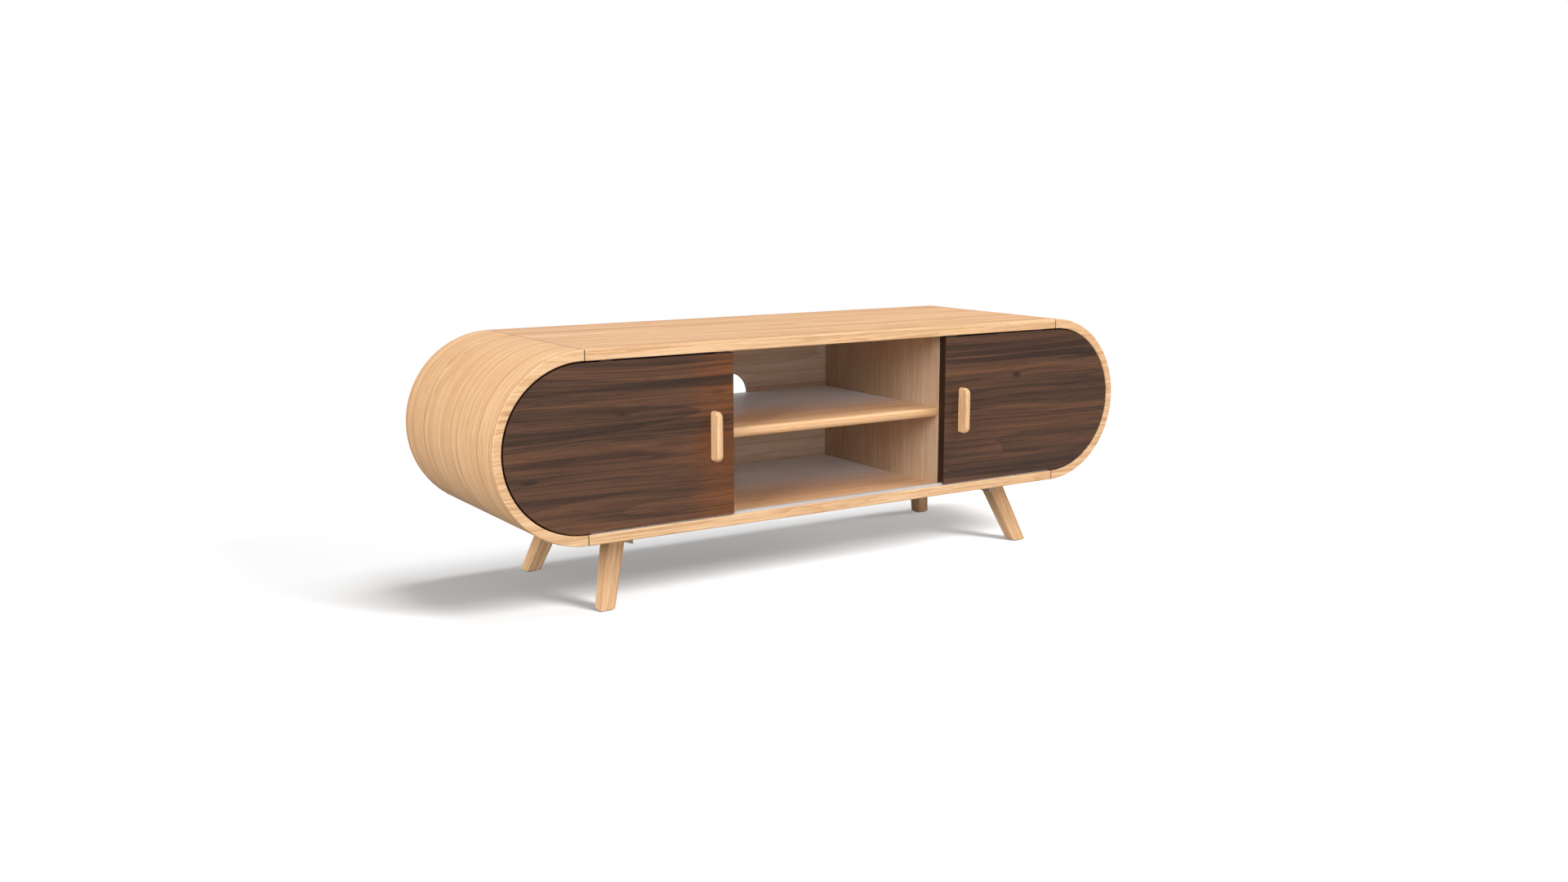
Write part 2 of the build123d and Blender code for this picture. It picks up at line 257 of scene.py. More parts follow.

# The oak inside has a closer, satin lacquer: low light slides off it towards the eye.
# In the open bay a painted grey reflection, a sheen and a grey colour mix, grows towards the back.
dividerLow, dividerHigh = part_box("right_divider")
baySatin = {
    "stops": [(0.1, "#DDA571"), (0.9, "#FED29F")], "streakShare": 0.4, "roughness": 0.38, "specular": 0.45,
    # painted grey reflection: its most and least sheen, its share of the colour, its tint, and where it grows
    # in depth and across
    "paintedSheen": 1.0, "paintedSheenLeast": 0.06, "paintedSheenCover": 0.65, "paintedSheenTint": "#DFE9F2",
    "paintedSheenRange": (-0.12, 0.12), "paintedSheenSides": (dividerLow.x, dividerHigh.x),
}
bayOak = woodMaterial("oakVeneerSatin", dict(oakLook, **baySatin))

# The same oak bent round the ends: the stripes of the crown-cut leaf stand out more.
bentStripes = {
    "bandSize": (900, 9, 3), "bandShare": 0.7,
    "figureSize": (1300, 42, 1), "ringCount": 22, "ringShare": 0.3,
    "fibreSize": (500, 2.6, 4),
    "stops": [(0.1, "#CB9568"), (0.35, "#DFB083"), (0.6, "#EDC192"), (0.9, "#F6CFA2")],
    "streakSize": (1500, 4.5, 3), "streak": "#BD8253", "streakRange": (0.53, 0.66), "streakShare": 0.6,
}
bentOak = woodMaterial("oakVeneerBent", dict(oakLook, **bentStripes))

# Solid oak, planed and matt lacquered: warmer and shorter in the grain, on the lipping, legs and handles.
planedGrain = {
    "bandSize": (320, 12, 2), "figureSize": (420, 24, 1), "ringCount": 8, "fibreSize": (120, 2.6, 3),
    "stops": [(0.1, "#D8A676"), (0.4, "#EDBF91"), (0.65, "#F5CA9C"), (0.95, "#FBD5AA")],
    "streakSize": (300, 6, 2), "streakShare": 0.4,
}
oakLipping = woodMaterial("oakLippingPlaned", dict(oakLook, **planedGrain))

# Oak veneer on the back panel and the wedge blocks, left greyer and quieter than the outside.
quietGrain = {"stops": [(0.1, "#AF947E"), (0.9, "#CFBBA8")], "streakShare": 0.2}
oakAlongX = woodMaterial("oakVeneerAlong", dict(oakLook, **quietGrain), lyingTurn)

# Oak veneer with its grain upright, on the dividers: fine short flecks and hardly a band.
uprightGrain = {
    "bandShare": 0.4, "ringShare": 0.15, "fibreSize": (120, 2.2, 3), "poreShare": 0.6,
    "stops": [(0.1, "#B39274"), (0.9, "#D9C4AA")], "streakShare": 0.2,
}
oakUpright = woodMaterial("oakVeneerUpright", dict(oakLook, **uprightGrain), standingTurn)

# Birch plywood tongues: raw, pale and matt.
rawBirch = {"stops": [(0.2, "#C9AB82"), (0.8, "#DCC29C")], "streakShare": 0.1, "roughness": 0.65}
birchPly = woodMaterial("birchPlywoodRaw", dict(oakLook, **rawBirch), lyingTurn)

# American walnut veneer, satin lacquered: chocolate brown with near-black streaks and a warmer heart.
# Its pores are drawn as wide as the oak's.
walnutLook = {
    "driftSize": (520, 110, 1), "drift": 28,
    "bandSize": (1900, 30, 3), "bandShare": 1.0,
    "figureSize": (1300, 70, 1), "ringCount": 9, "ringShare": 0.22,
    "fibreSize": (620, 4.0, 4), "fibreShare": 1.0,
    "stops": [(0.1, "#35271F"), (0.35, "#4B362A"), (0.6, "#624433"), (0.9, "#7F563D")],
    "heart": "#8A5128", "heartAt": -0.24, "heartHalf": 0.10, "heartShare": 0.9,
    "streakSize": (2000, 20, 4), "streak": "#2E221D", "streakRange": (0.50, 0.64), "streakShare": 0.7,
    "knots": [
        {"place": (0.406, 0.341, 0), "half": (0.012, 0.007), "push": 0.002, "share": 0.9},
        {"place": (-0.604, 0.238, 0), "half": (0.018, 0.004), "push": 0.0015, "share": 0.9},
        {"place": (-0.438, 0.333, 0), "half": (0.015, 0.005), "push": 0.002, "share": 0.6},
        {"place": (-0.259, 0.357, 0), "half": (0.020, 0.006), "push": 0.004, "share": 0.4},
    ],
    "poreSize": (34, 1.6, 1), "pore": "#2A1B14", "poreShare": 0.4,
    "roughness": 0.45, "bump": 0.12, "ior": 1.5, "specular": 0.13,
}
walnutVeneer = woodMaterial("walnutVeneerSatin", walnutLook)

# Walnut edge band, glued on: darker than the leaf, so that each door has a thin dark edge.
darkBand = {"knots": (), "heartShare": 0, "stops": [(0.2, "#2A1A13"), (0.8, "#432B1F")]}
walnutBand = woodMaterial("walnutEdgeBand", dict(walnutLook, **darkBand))

# What every plain finish shares: a fine mottle in its tone and gloss, and its depth in metres
mottleLook = {"detail": 2.0, "toneRange": (0.3, 0.7), "glossChange": 0.06, "depth": 0.0002}


def mottledMaterial(name, look):
    material, tree, shader = newMaterial(name)
    place = addNode(tree, "ShaderNodeTexCoord").outputs["Object"]
    mottle = addNode(tree, "ShaderNodeTexNoise", inputs={
        "Vector": place, "Scale": mm / look["grainMm"], "Detail": mottleLook["detail"]}).outputs[0]
    colour = addNode(tree, "ShaderNodeValToRGB", {"stops": look["stops"]}, [mottle])
    change = mottleLook["glossChange"]
    gloss = addNode(tree, "ShaderNodeMapRange", inputs=[
        mottle, *mottleLook["toneRange"], look["roughness"] - change, look["roughness"] + change])
    bump = addNode(tree, "ShaderNodeBump", inputs={
        "Strength": look["bump"], "Distance": mottleLook["depth"], "Height": mottle})
    tree.links.new(colour.outputs[0], shader.inputs["Base Color"])
    tree.links.new(gloss.outputs[0], shader.inputs["Roughness"])
    tree.links.new(bump.outputs[0], shader.inputs["Normal"])
    shader.inputs["Metallic"].default_value = look.get("metallic", 0.0)
    shader.inputs["IOR"].default_value = look.get("ior", 1.5)
    return material


# Extruded ABS rail: pale grey and satin, wiped smooth by the doors.
railPlastic = mottledMaterial("absRailExtruded", {
    "grainMm": 6, "stops": [(0.3, "#C4BEBA"), (0.7, "#CEC9C5")], "roughness": 0.4, "bump": 0.05, "ior": 1.54})
# Extruded ABS channel, dark so that it is lost in the shadow over the doors.
channelPlastic = mottledMaterial("absChannelExtruded", {
    "grainMm": 6, "stops": [(0.3, "#2B2420"), (0.7, "#372E29")], "roughness": 0.5, "bump": 0.05, "ior": 1.54})
# Moulded nylon runners: milky and matt.
nylonMoulded = mottledMaterial("nylonMoulded", {
    "grainMm": 3, "stops": [(0.3, "#D2CFC8"), (0.7, "#DEDCD5")], "roughness": 0.5, "bump": 0.1, "ior": 1.53})
# Zinc-plated steel screws: grey with a faint spangle.
zincSteel = mottledMaterial("zincPlatedSteel", {
    "grainMm": 2, "stops": [(0.3, "#A9A9A4"), (0.7, "#C4C3BD")], "roughness": 0.34, "bump": 0.1,
    "metallic": 1.0})
# Pressed wool felt under the feet: dull brown with a short nap.
pressedFelt = mottledMaterial("woolFeltPressed", {
    "grainMm": 1.2, "stops": [(0.3, "#4F4338"), (0.7, "#75675A")], "roughness": 0.9, "bump": 0.6})
# Oak end grain in the vee of a seam: open pores take up the lacquer and darken.
seamEndGrain = mottledMaterial("oakEndGrain", {
    "grainMm": 1.5, "stops": [(0.3, "#6B4A2E"), (0.7, "#8E6A45")], "roughness": 0.6, "bump": 0.2})
# The dried glue line between lipping and veneer: a thread of darker tan.
glueLine = mottledMaterial("glueLineDried", {
    "grainMm": 2, "stops": [(0.3, "#A87C50"), (0.7, "#BE9263")], "roughness": 0.5, "bump": 0.1})
print("materials made")


# Modelling helpers
sharpAngle = math.radians(50)        # an edge that turns more than this is shaded crisp


def everything(bm):
    return bm.verts[:] + bm.edges[:] + bm.faces[:]


def sectionFace(bm, points):
    return bm.faces.new([bm.verts.new(point) for point in points])


def roundCorners(bm, verts, size, segments):
    bmesh.ops.bevel(bm, geom=verts, offset=size, segments=segments, affect="VERTICES",
                    profile=0.5, material=-1)


def roundEdges(bm, edges, size, segments):
    made = bmesh.ops.bevel(bm, geom=edges, offset=size, segments=segments, affect="EDGES",
                           profile=0.5, material=-1)
    return made["faces"]


def grow(bm, faces, step):
    # Extrude faces and carry the new ones by a step; a face of a shell leaves no wall behind it.
    inShell = [face for face in faces if any(len(edge.link_faces) > 1 for edge in face.edges)]
    made = bmesh.ops.extrude_face_region(bm, geom=faces)["geom"]
    bmesh.ops.delete(bm, geom=inShell, context="FACES")
    bmesh.ops.translate(bm, vec=step, verts=[part for part in made if isinstance(part, bmesh.types.BMVert)])
    return [part for part in made if isinstance(part, bmesh.types.BMFace)]


def cutAway(bm, point, normal):
    # Take off what lies beyond a plane and close the cut.
    cut = bmesh.ops.bisect_plane(bm, geom=everything(bm), dist=tiny, plane_co=point, plane_no=normal,
                                 clear_outer=True)
    rim = [part for part in cut["geom_cut"] if isinstance(part, bmesh.types.BMEdge)]
    bmesh.ops.contextual_create(bm, geom=rim)


def setGrain(bm, grainOf):
    # Every corner keeps its place in the wood: X along the grain, Y across, Z deep.
    layer = bm.loops.layers.float_vector.new("grain")
    for face in bm.faces:
        for loop in face.loops:
            loop[layer] = grainOf(loop.vert.co, face)


def makePiece(bm, name, body, materials, replaced=()):
    bmesh.ops.remove_doubles(bm, verts=bm.verts[:], dist=tiny)
    bmesh.ops.recalc_face_normals(bm, faces=bm.faces[:])
    for face in bm.faces:
        face.smooth = True
    mesh = bpy.data.meshes.new(name)
    bm.to_mesh(mesh)
    bm.free()
    mesh.set_sharp_from_angle(angle=sharpAngle)
    for material in materials:
        mesh.materials.append(material)
    piece = bpy.data.objects.new(name, mesh)
    bpy.context.scene.collection.objects.link(piece)
    even = piece.modifiers.new("evenShading", "WEIGHTED_NORMAL")
    even.keep_sharp = True
    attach(piece, body)
    if replaced:
        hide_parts(*replaced)


# Seams and lipping, shared by the straight panels and the ends
seamLook = {"bevel": 0.001, "rimRound": 0.002, "rimSegments": 4, "lipping": 0.004}
lipY = frontY + seamLook["lipping"]


def bevelSeam(bm, x, coat):
    # The vee at a seam, on the outside and across the front edge; coat is the number of its material.
    edges = []
    for edge in bm.edges:
        middle = (edge.verts[0].co + edge.verts[1].co) / 2
        onSeam = all(abs(vert.co.x - x) < tiny for vert in edge.verts)
        outside = abs(abs(middle.z - midZ) - outerRadius) < tiny
        inFront = middle.y < frontY + seamLook["rimRound"]
        if onSeam and (outside or inFront):
            edges.append(edge)
    for face in roundEdges(bm, edges, seamLook["bevel"], 1):
        face.material_index = coat


# Half-round ends: a wall section spun about the seam's centre, with the inner half set outwards
endLook = {"steps": 96, "glueLine": 0.0006, "backRound": 0.0006, "backSegments": 2, "outerShare": 1 / 3}


def endCurve(side):
    coats = [bentOak, oakLipping, glueLine, seamEndGrain]
    bm = bmesh.new()
    outer = midZ + outerRadius
    inner = midZ + innerRadius
    rebate = midZ + rebateRadius
    glueY = lipY + endLook["glueLine"]
    outline = [(frontY, inner), (frontY, outer), (lipY, outer), (glueY, outer), (backY, outer),
               (backY, rebate), (rebateY, rebate), (rebateY, inner), (glueY, inner), (lipY, inner)]
    section = sectionFace(bm, [(seamX, y, z) for y, z in outline])
    roundCorners(bm, section.verts[:2], seamLook["rimRound"], seamLook["rimSegments"])
    backEdge = [vert for vert in bm.verts if vert.co.y > backY - tiny and vert.co.z > outer - tiny]
    roundCorners(bm, backEdge, endLook["backRound"], endLook["backSegments"])
    bmesh.ops.spin(bm, geom=everything(bm), cent=(seamX, 0, midZ), axis=(0, 1, 0),
                   angle=math.pi, steps=endLook["steps"], use_duplicate=False)
    outerWall = outerRadius - board * endLook["outerShare"]        # what lies inside it moves outwards
    innerVerts = [vert for vert in bm.verts if math.hypot(vert.co.x - seamX, vert.co.z - midZ) < outerWall]
    bmesh.ops.translate(bm, vec=(innerX - seamX, 0, 0), verts=innerVerts)
    caps = [face for face in bm.faces if len(face.verts) > 4]
    for cap in caps:        # the wall runs on straight to the seam
        for face in grow(bm, [cap], (0, 0, 0)):
            for vert in face.verts:
                vert.co.x = seamX
    bmesh.ops.remove_doubles(bm, verts=bm.verts[:], dist=tiny)
    for face in bm.faces:
        middle = face.calc_center_median()
        if middle.y < lipY:
            face.material_index = coats.index(oakLipping)
        elif middle.y < glueY and len(face.verts) == 4:
            face.material_index = coats.index(glueLine)
    bevelSeam(bm, seamX, coats.index(seamEndGrain))

    def grainOf(place, face):
        if face.material_index == coats.index(oakLipping):
            return (place.x, place.z, place.y)
        acrossX = abs(place.x) - seamX
        angle = math.atan2(acrossX, place.z - midZ)
        return (angle * outerRadius + side, place.y, math.hypot(acrossX, place.z - midZ))

    bmesh.ops.scale(bm, vec=(side, 1, 1), verts=bm.verts[:])
    setGrain(bm, grainOf)
    name = "right_end" if side > 0 else "left_end"
    makePiece(bm, name, "carcass", coats, [name + "_curve"])


for side in (-1, 1):
    endCurve(side)
print("ends made")


# Straight panels: one section run from seam to seam, with a slot for the rail or the channel
def straightPanel(name, track):
    coats = [oakVeneer, oakLipping, seamEndGrain, bayOak]
    bm = bmesh.new()
    trackLow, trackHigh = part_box(track)
    up = 1 if trackLow.z > midZ else -1
    outZ = midZ + up * outerRadius
    inZ = midZ + up * innerRadius
    rebateZ = midZ + up * rebateRadius
    outline = [(frontY, inZ), (frontY, outZ), (lipY, outZ), (backY, outZ), (backY, rebateZ),
               (rebateY, rebateZ), (rebateY, inZ), (trackHigh.y, inZ), (trackLow.y, inZ)]
    section = sectionFace(bm, [(-seamX, y, z) for y, z in outline])
    roundCorners(bm, section.verts[:2], seamLook["rimRound"], seamLook["rimSegments"])
    faces = bm.faces[:]
    reached = -seamX
    for x in (trackLow.x, trackHigh.x, seamX):
        faces = grow(bm, faces, (x - reached, 0, 0))
        reached = x
    for face in bm.faces:
        middle = face.calc_center_median()
        if middle.y < lipY:
            face.material_index = coats.index(oakLipping)
        elif abs(middle.z - inZ) < tiny:
            face.material_index = coats.index(bayOak)
    depth = (trackHigh.z if up > 0 else trackLow.z) - inZ
    mouthMiddle = Vector((0, (trackLow.y + trackHigh.y) / 2, inZ))
    mouth = [face for face in bm.faces if (face.calc_center_median() - mouthMiddle).length < tiny]
    grow(bm, mouth, (0, 0, depth))
    for x in (-seamX, seamX):
        bevelSeam(bm, x, coats.index(seamEndGrain))
    setGrain(bm, lambda place, face: (place.x, place.y, place.z))
    makePiece(bm, name.replace("_panel", "_board"), "carcass", coats, [name])


straightPanel("top_panel", "top_channel")
straightPanel("bottom_panel", "bottom_rail")
print("panels made")


# Sliding doors: a half-round outline, thickened, with a groove for the rail along the bottom edge
doorLook = {
    "steps": 72, "frontBevel": 0.0008, "frontSegments": 2, "backBevel": 0.0004, "backSegments": 1,
    "grooveDepth": 0.005, "grooveSide": 0.0005,
    "leafFacing": 0.5,        # a face that turns less than this to the front or back is edge band
}


def slidingDoor(side):
    coats = [walnutVeneer, walnutBand]
    bm = bmesh.new()
    start = bm.verts.new((innerX, doorLow.y, doorHigh.z))
    bmesh.ops.spin(bm, geom=[start], cent=(innerX, 0, midZ), axis=(0, 1, 0), angle=math.pi,
                   steps=doorLook["steps"], use_duplicate=False)
    ends = sorted((vert for vert in bm.verts if len(vert.link_edges) == 1), key=lambda vert: vert.co.z)
    inside = [bm.verts.new((doorLow.x, doorLow.y, end.co.z)) for end in ends]
    for pair in ((ends[0], inside[0]), (inside[0], inside[1]), (inside[1], ends[1])):
        bm.edges.new(pair)
    bmesh.ops.contextual_create(bm, geom=bm.edges[:])
    grow(bm, bm.faces[:], (0, doorHigh.y - doorLow.y, 0))
    front = [edge for edge in bm.edges if all(vert.co.y < doorLow.y + tiny for vert in edge.verts)]
    rear = [edge for edge in bm.edges if all(vert.co.y > doorHigh.y - tiny for vert in edge.verts)]
    roundEdges(bm, front, doorLook["frontBevel"], doorLook["frontSegments"])
    roundEdges(bm, rear, doorLook["backBevel"], doorLook["backSegments"])
    railLow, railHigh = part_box("bottom_rail")
    grooveFrom = railLow.y - doorLook["grooveSide"]
    grooveTo = railHigh.y + doorLook["grooveSide"]
    roofZ = doorLow.z + doorLook["grooveDepth"]
    cuts = [((0, grooveFrom, 0), (0, 1, 0)), ((0, grooveTo, 0), (0, 1, 0)), ((0, 0, roofZ), (0, 0, 1))]
    for point, normal in cuts:
        bmesh.ops.bisect_plane(bm, geom=everything(bm), dist=tiny, plane_co=point, plane_no=normal)
    grooveFaces = []
    for face in bm.faces:
        middle = face.calc_center_median()
        if grooveFrom < middle.y < grooveTo and middle.z < roofZ:
            grooveFaces.append(face)
    bmesh.ops.delete(bm, geom=grooveFaces, context="FACES")
    for y in (grooveFrom, grooveTo):
        onRoof = [vert for vert in bm.verts if abs(vert.co.z - roofZ) < tiny]
        bm.edges.new([vert for vert in onRoof if abs(vert.co.y - y) < tiny])
    bmesh.ops.edgenet_fill(bm, edges=[edge for edge in bm.edges if len(edge.link_faces) < 2])
    bm.normal_update()
    for face in bm.faces:
        if abs(face.normal.y) < doorLook["leafFacing"]:
            face.material_index = coats.index(walnutBand)
    bmesh.ops.scale(bm, vec=(side, 1, 1), verts=bm.verts[:])

    def grainOf(place, face):
        if face.material_index == coats.index(walnutBand):
            return (place.z, place.x, place.y)
        return (place.x, place.z, place.y)

    setGrain(bm, grainOf)
    word = "right" if side > 0 else "left"
    makePiece(bm, word + "_door_leaf", word + "_door", coats, [word + "_door_panel"])


for side in (-1, 1):
    slidingDoor(side)
print("doors made")


# Bar handles: a side outline with two round corners, thickened and eased
handleLook = {"corner": 0.011, "cornerSegments": 10, "round": 0.0048, "roundSegments": 6}


def barHandle(word):
    low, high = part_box(word + "_door_handle")
    bm = bmesh.new()
    outline = [(low.y, low.z), (low.y, high.z), (high.y, high.z), (high.y, low.z)]
    section = sectionFace(bm, [(low.x, y, z) for y, z in outline])
    roundCorners(bm, section.verts[:2], handleLook["corner"], handleLook["cornerSegments"])
    grow(bm, bm.faces[:], (high.x - low.x, 0, 0))
    rims = []
    for edge in bm.edges:
        onSide = abs(edge.verts[0].co.x - edge.verts[1].co.x) < tiny
        onDoor = all(vert.co.y > high.y - tiny for vert in edge.verts)
        if onSide and not onDoor:
            rims.append(edge)
    roundEdges(bm, rims, handleLook["round"], handleLook["roundSegments"])
    setGrain(bm, lambda place, face: (place.z, place.x, place.y))
    makePiece(bm, word + "_bar_handle", word + "_door", [oakLipping], [word + "_door_handle"])


for word in ("left", "right"):
    barHandle(word)
print("handles made")


# Centre shelf: a board with a half-round nose, cut from another place along the veneer
shelfLook = {"noseSegments": 8, "alongVeneer": 2}


def noseShelf():
    low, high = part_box("centre_shelf")
    bm = bmesh.new()
    outline = [(low.y, low.z), (low.y, high.z), (high.y, high.z), (high.y, low.z)]
    section = sectionFace(bm, [(low.x, y, z) for y, z in outline])
    nose = (high.z - low.z) / 2 - tiny
    roundCorners(bm, section.verts[:2], nose, shelfLook["noseSegments"])
    grow(bm, bm.faces[:], (high.x - low.x, 0, 0))
    setGrain(bm, lambda place, face: (place.x + shelfLook["alongVeneer"], place.y, place.z))
    makePiece(bm, "nose_shelf", "carcass", [bayOak], ["centre_shelf"])


noseShelf()
print("shelf made")


# Legs: a tapered square bar along the line from block to pad, cut to the block's slope at the top and
# level above the pad
legLook = {"topSide": 0.032, "footSide": 0.0265, "round": 0.004, "roundSegments": 4, "blockMiddle": 0.014}


def legLine(corner):
    # Where the leg's line meets its block and its pad.
    blockLow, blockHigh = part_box(corner + "_leg_block")
    padLow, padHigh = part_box(corner + "_foot_pad")
    seat = (blockLow + blockHigh) / 2
    seat.z = blockHigh.z - legLook["blockMiddle"]
    foot = (padLow + padHigh) / 2
    foot.z = padHigh.z
    return seat, foot


def splayedLeg(corner):
    seat, foot = legLine(corner)
    line = seat - foot
    axis = line.normalized()
    sideX = Vector((axis.z, 0, -axis.x)).normalized()
    sideY = axis.cross(sideX)
    toLeg = Matrix((sideX, sideY, axis)).transposed().to_4x4()
    toLeg.translation = seat
    spare = legLook["topSide"]        # run past both cuts
    toFloor = line.length * seat.z / line.z        # along the leg's line from the seat to the floor
    taper = (legLook["topSide"] - legLook["footSide"]) / toFloor
    length = toFloor + 2 * spare
    wide = legLook["topSide"] + taper * spare
    half = wide / 2
    bm = bmesh.new()
    sectionFace(bm, [(-half, -half, spare), (-half, half, spare), (half, half, spare), (half, -half, spare)])
    foots = grow(bm, bm.faces[:], (0, 0, -length))
    shrink = 1 - taper * length / wide
    bmesh.ops.scale(bm, vec=(shrink, shrink, 1), verts=foots[0].verts[:])
    arrises = [edge for edge in bm.edges if abs(edge.verts[0].co.z - edge.verts[1].co.z) > tiny]
    roundEdges(bm, arrises, legLook["round"], legLook["roundSegments"])
    setGrain(bm, lambda place, face: (place.z + seat.x, place.x + seat.y, place.y))
    bmesh.ops.transform(bm, matrix=toLeg, verts=bm.verts[:])
    cutAway(bm, seat, (line.x, 0, line.z))
    cutAway(bm, foot, (0, 0, -1))
    makePiece(bm, corner + "_tapered_leg", "carcass", [oakLipping], [corner + "_leg"])


for corner in corners:
    splayedLeg(corner)
print("legs made")


# Small screws: domed heads with a cross, each a grid whose rim is drawn to a circle
screwLook = {
    "radius": 0.0031, "grid": 5, "rise": 0.0006, "domeShare": 0.6, "sink": 0.0012,
    "crossReach": 0.5, "crossHalf": 0.1, "crossDepth": 0.0006,        # reach and half-width in radii
    "alongBack": 0.16, "backColumns": 3, "endAngles": (45, 90, 135), "rowInset": 0.004, "backTurn": 0.7,
    "blockSpread": 0.021, "blockTurn": 0.9,
}


def screwHead(bm, place, normal, turn):
    radius = screwLook["radius"]
    grid = screwLook["grid"]
    head = bmesh.ops.create_grid(bm, x_segments=grid, y_segments=grid, size=radius)["verts"]
    for vert in head:
        square = max(abs(vert.co.x), abs(vert.co.y))
        if square > radius - tiny:
            vert.co *= radius / vert.co.length
        vert.co.z = screwLook["rise"] * (1 - screwLook["domeShare"] * (vert.co.xy.length / radius) ** 2)
    faces = {face for vert in head for face in vert.link_faces}
    cross = []
    for face in faces:
        middle = face.calc_center_median()
        across, along = sorted((abs(middle.x) / radius, abs(middle.y) / radius))
        if along < screwLook["crossReach"] and across < screwLook["crossHalf"]:
            cross.append(face)
    made = grow(bm, cross, (0, 0, -screwLook["crossDepth"]))
    rim = [edge for face in faces if face.is_valid for edge in face.edges if len(edge.link_faces) == 1]
    skirt = bmesh.ops.extrude_edge_only(bm, edges=rim)["geom"]
    low = [part for part in skirt if isinstance(part, bmesh.types.BMVert)]
    for vert in low:
        vert.co.z = -screwLook["sink"]
    skirtEdges = [part for part in skirt if isinstance(part, bmesh.types.BMEdge)]
    lowRim = [edge for edge in skirtEdges if all(vert in low for vert in edge.verts)]
    bmesh.ops.contextual_create(bm, geom=lowRim)
    verts = list({vert for vert in head + low + [vert for face in made for vert in face.verts]})
    toPlace = Vector((0, 0, 1)).rotation_difference(Vector(normal)).to_matrix().to_4x4()
    toPlace.translation = place
    bmesh.ops.transform(bm, matrix=toPlace @ Matrix.Rotation(turn, 4, "Z"), verts=verts)


def backScrews():
    bm = bmesh.new()
    row = rebateRadius - screwLook["rowInset"]
    spots = []
    for column in range(-screwLook["backColumns"], screwLook["backColumns"] + 1):
        for up in (-1, 1):
            spots.append((column * screwLook["alongBack"], midZ + up * row))
    for side in (-1, 1):
        for angle in screwLook["endAngles"]:
            x = innerX + row * math.sin(math.radians(angle))
            spots.append((side * x, midZ + row * math.cos(math.radians(angle))))
    for count, (x, z) in enumerate(spots):
        screwHead(bm, (x, backHigh.y, z), (0, 1, 0), screwLook["backTurn"] * count)
    makePiece(bm, "back_panel_screws", "carcass", [zincSteel])


def blockScrews():
    bm = bmesh.new()
    spread = screwLook["blockSpread"]
    for number, corner in enumerate(corners):
        seat, foot = legLine(corner)
        line = seat - foot
        slope = line.x / line.z
        for count, (alongX, alongY) in enumerate(((-1, -1), (-1, 1), (1, -1), (1, 1))):
            spot = seat + Vector((alongX * spread, alongY * spread, -slope * alongX * spread))
            screwHead(bm, spot, (-slope, 0, -1), screwLook["blockTurn"] * count + number)
    makePiece(bm, "leg_block_screws", "carcass", [zincSteel])


backScrews()
blockScrews()
print("screws made")


# CAD pieces that keep their own shape get their finish
finishes = {
    "left_divider": oakUpright, "right_divider": oakUpright, "back_panel": oakAlongX,
    "bottom_rail": railPlastic, "top_channel": channelPlastic, "track_stops": channelPlastic,
    "seam_tongues": birchPly, "shelf_tongues": birchPly, "leg_bolts": zincSteel,
}
for word in ("left", "right"):
    finishes[word + "_door_sliders"] = nylonMoulded
    finishes[word + "_door_guides"] = channelPlastic
    finishes[word + "_handle_screws"] = zincSteel
for corner in corners:
    finishes[corner + "_leg_block"] = oakAlongX
    finishes[corner + "_foot_pad"] = pressedFelt
for name, finish in finishes.items():
    slots = nodes[name].material_slots
    if not slots:
        nodes[name].data.materials.append(finish)
    for slot in slots:
        slot.material = finish
print("finishes given")


# Camera at the photograph's view, from the lines of the cabinet in a 1920 x 1080 frame
cameraLook = {
    "place": (-1.4949, -2.2820, 0.6922), "yaw": 33.143, "pitch": 9.785,
    "focalPixels": 1791, "framePixels": 1920, "sensorMm": 36,
}
cameraData = bpy.data.cameras.new("camera")
cameraData.sensor_width = cameraLook["sensorMm"]
cameraData.lens = cameraData.sensor_width * cameraLook["focalPixels"] / cameraLook["framePixels"]
camera = bpy.data.objects.new("camera", cameraData)
camera.location = cameraLook["place"]
camera.rotation_euler = (math.radians(90 - cameraLook["pitch"]), 0, math.radians(-cameraLook["yaw"]))
bpy.context.scene.collection.objects.link(camera)
bpy.context.scene.camera = camera


def seenShare(tree):
    # 1 for what the camera sees, straight or in a reflection, and 0 for light on the cabinet
    rays = addNode(tree, "ShaderNodeLightPath").outputs
    seen = addNode(tree, "ShaderNodeMath", larger, [rays["Is Camera Ray"], rays["Is Glossy Ray"]]).outputs[0]
    return addNode(tree, "ShaderNodeMath", larger, [seen, rays["Is Transmission Ray"]]).outputs[0]


# Floor: a pale disc that keeps the shadow near the cabinet and fades to plain white. Its bounce colour is
# what it sends back to the cabinet, darker because the floor's own lamps are strong.
floorLook = {
    "radius": 14.0, "segments": 64, "colour": "#B4B4B4", "bounceColour": "#5C5C5C", "lift": 0.27,
    "fadeRange": (0.9, 1.6),
}
bm = bmesh.new()
bmesh.ops.create_circle(bm, cap_ends=True, segments=floorLook["segments"], radius=floorLook["radius"])
floorMesh = bpy.data.meshes.new("floor")
bm.to_mesh(floorMesh)
bm.free()
floor = bpy.data.objects.new("floor", floorMesh)
bpy.context.scene.collection.objects.link(floor)
floorMaterial = bpy.data.materials.new("floorPaintMatt")
floorMaterial.use_nodes = True
tree = floorMaterial.node_tree
tree.nodes.clear()
paint = addNode(tree, "ShaderNodeBsdfDiffuse", inputs={"Color": linear(floorLook["colour"])})
bounce = addNode(tree, "ShaderNodeBsdfDiffuse", inputs={"Color": linear(floorLook["bounceColour"])})
lift = addNode(tree, "ShaderNodeEmission", inputs={"Strength": floorLook["lift"]})
lit = addNode(tree, "ShaderNodeAddShader", inputs=[paint.outputs[0], lift.outputs[0]])
white = addNode(tree, "ShaderNodeEmission", inputs={"Strength": 1.0})
place = addNode(tree, "ShaderNodeTexCoord").outputs["Object"]
away = addNode(tree, "ShaderNodeVectorMath", howFar, [place]).outputs["Value"]
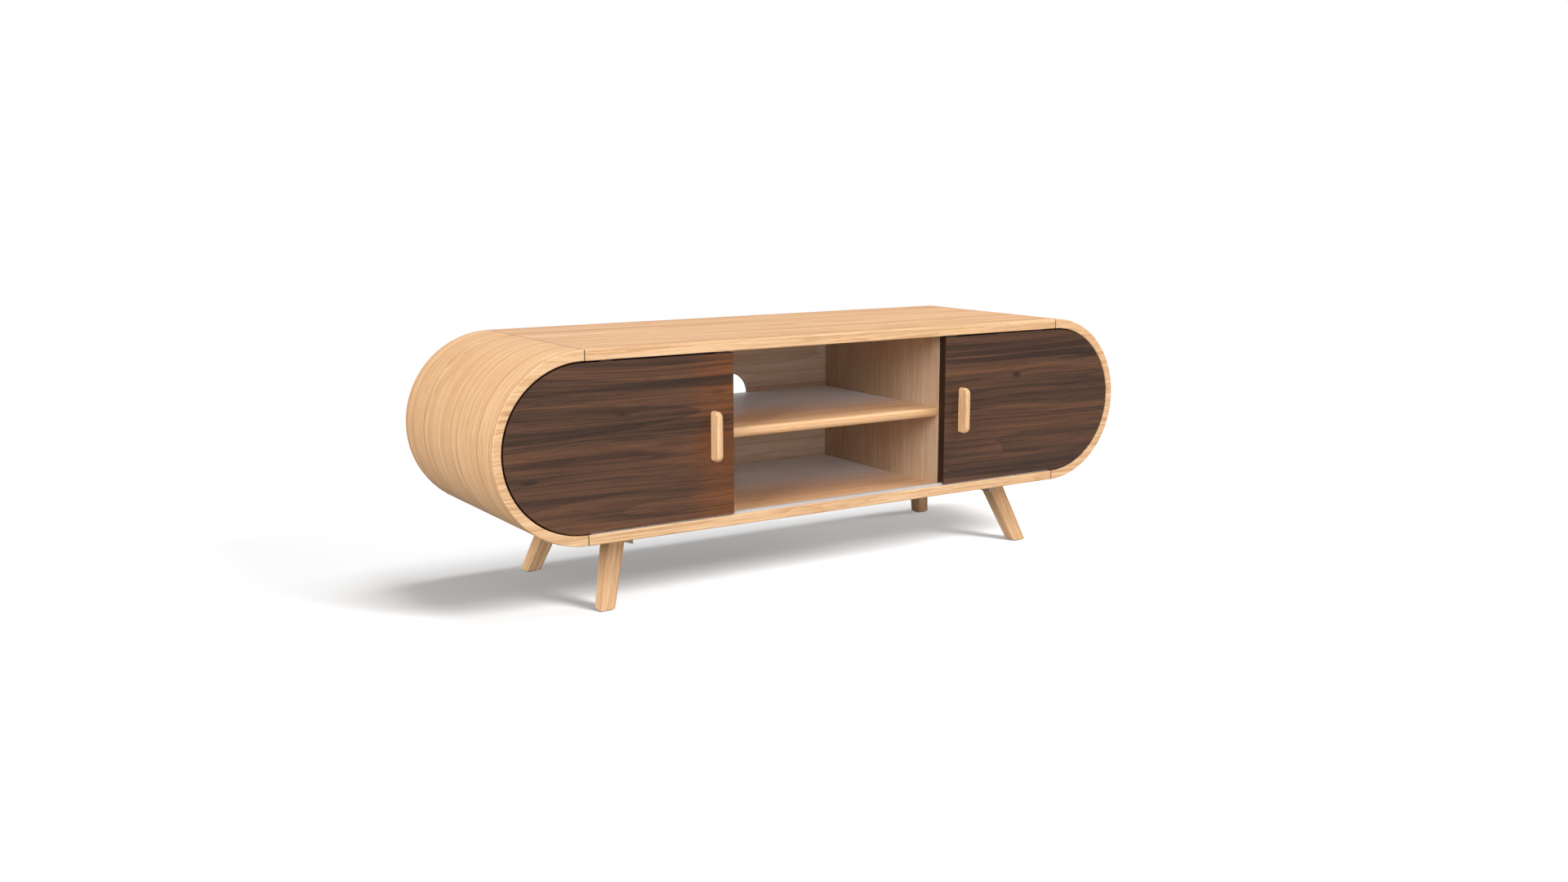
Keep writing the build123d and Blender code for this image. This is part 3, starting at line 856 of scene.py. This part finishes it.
fade = addNode(tree, "ShaderNodeMapRange", eased, [away, *floorLook["fadeRange"], 0.0, 1.0]).outputs[0]
shown = addNode(tree, "ShaderNodeMixShader", inputs=[fade, lit.outputs[0], white.outputs[0]]).outputs[0]
surface = addNode(tree, "ShaderNodeMixShader", inputs=[seenShare(tree), bounce.outputs[0], shown])
addNode(tree, "ShaderNodeOutputMaterial", inputs={"Surface": surface.outputs[0]})
floorMesh.materials.append(floorMaterial)

# World: white to the eye and in reflections, a grey sky as light, brighter above the left front
worldLook = {"towards": (-0.60, -0.50, 0.62), "dim": 0.0, "bright": 0.58}
world = bpy.data.worlds.new("studio")
world.use_nodes = True
bpy.context.scene.world = world
tree = world.node_tree
tree.nodes.clear()
direction = addNode(tree, "ShaderNodeTexCoord").outputs["Generated"]
facing = addNode(tree, "ShaderNodeVectorMath", {"operation": "DOT_PRODUCT"}, [
    direction, worldLook["towards"]]).outputs["Value"]
light = addNode(tree, "ShaderNodeMapRange", inputs=[
    facing, -1.0, 1.0, worldLook["dim"], worldLook["bright"]]).outputs[0]
level = addNode(tree, "ShaderNodeMix", inputs={0: seenShare(tree), 2: light, 3: 1.0})
sky = addNode(tree, "ShaderNodeBackground", inputs={"Color": (1, 1, 1, 1), "Strength": level.outputs[0]})
addNode(tree, "ShaderNodeOutputWorld", inputs={"Surface": sky.outputs[0]})

# Lamps: share is what each adds to a white surface that faces it. Five light the cabinet and three the
# floor alone, whose shadows lie over each other under the cabinet.
lampLook = {
    "key": {"place": (1.6, -1.1, 2.4), "size": 1.1, "share": 0.43, "falls": "onCabinet"},
    "fill": {"place": (-3.3, -1.5, 1.6), "size": 1.6, "share": 0.57, "falls": "onCabinet"},
    "front": {"place": (-0.1, -3.3, 0.20), "size": 0.30, "share": 0.15, "falls": "onCabinet"},
    "brow": {"place": (0.3, -3.0, 1.9), "size": 0.9, "share": 0.10, "falls": "onCabinet"},
    "back": {"place": (0.2, 3.0, 3.2), "size": 2.0, "share": 0.20, "falls": "onCabinet"},
    "floorAbove": {"place": (0.3, 0.1, 3.2), "size": 1.6, "share": 1.75, "falls": "onFloor"},
    "floorFront": {"place": (1.6, -3.0, 2.4), "size": 1.4, "share": 2.7, "falls": "onFloor"},
    "floorRight": {"place": (4.0, -0.8, 0.75), "size": 1.0, "share": 1.1, "falls": "onFloor"},
}
receivers = {}
for name in ("onCabinet", "onFloor"):
    receivers[name] = bpy.data.collections.new(name)
    receivers[name].objects.link(floor)
receivers["onCabinet"].collection_objects[0].light_linking.link_state = "EXCLUDE"
target = Vector((0, 0, midZ))
for name, look in lampLook.items():
    lampData = bpy.data.lights.new(name, "AREA")
    lampData.size = look["size"]
    toTarget = target - Vector(look["place"])
    lampData.energy = look["share"] * math.pi ** 2 * toTarget.length_squared
    lamp = bpy.data.objects.new(name, lampData)
    lamp.location = look["place"]
    lamp.rotation_euler = toTarget.to_track_quat("-Z", "Y").to_euler()
    lamp.light_linking.receiver_collection = receivers[look["falls"]]
    bpy.context.scene.collection.objects.link(lamp)
bpy.context.scene.view_settings.view_transform = "Standard"
print("stage set")
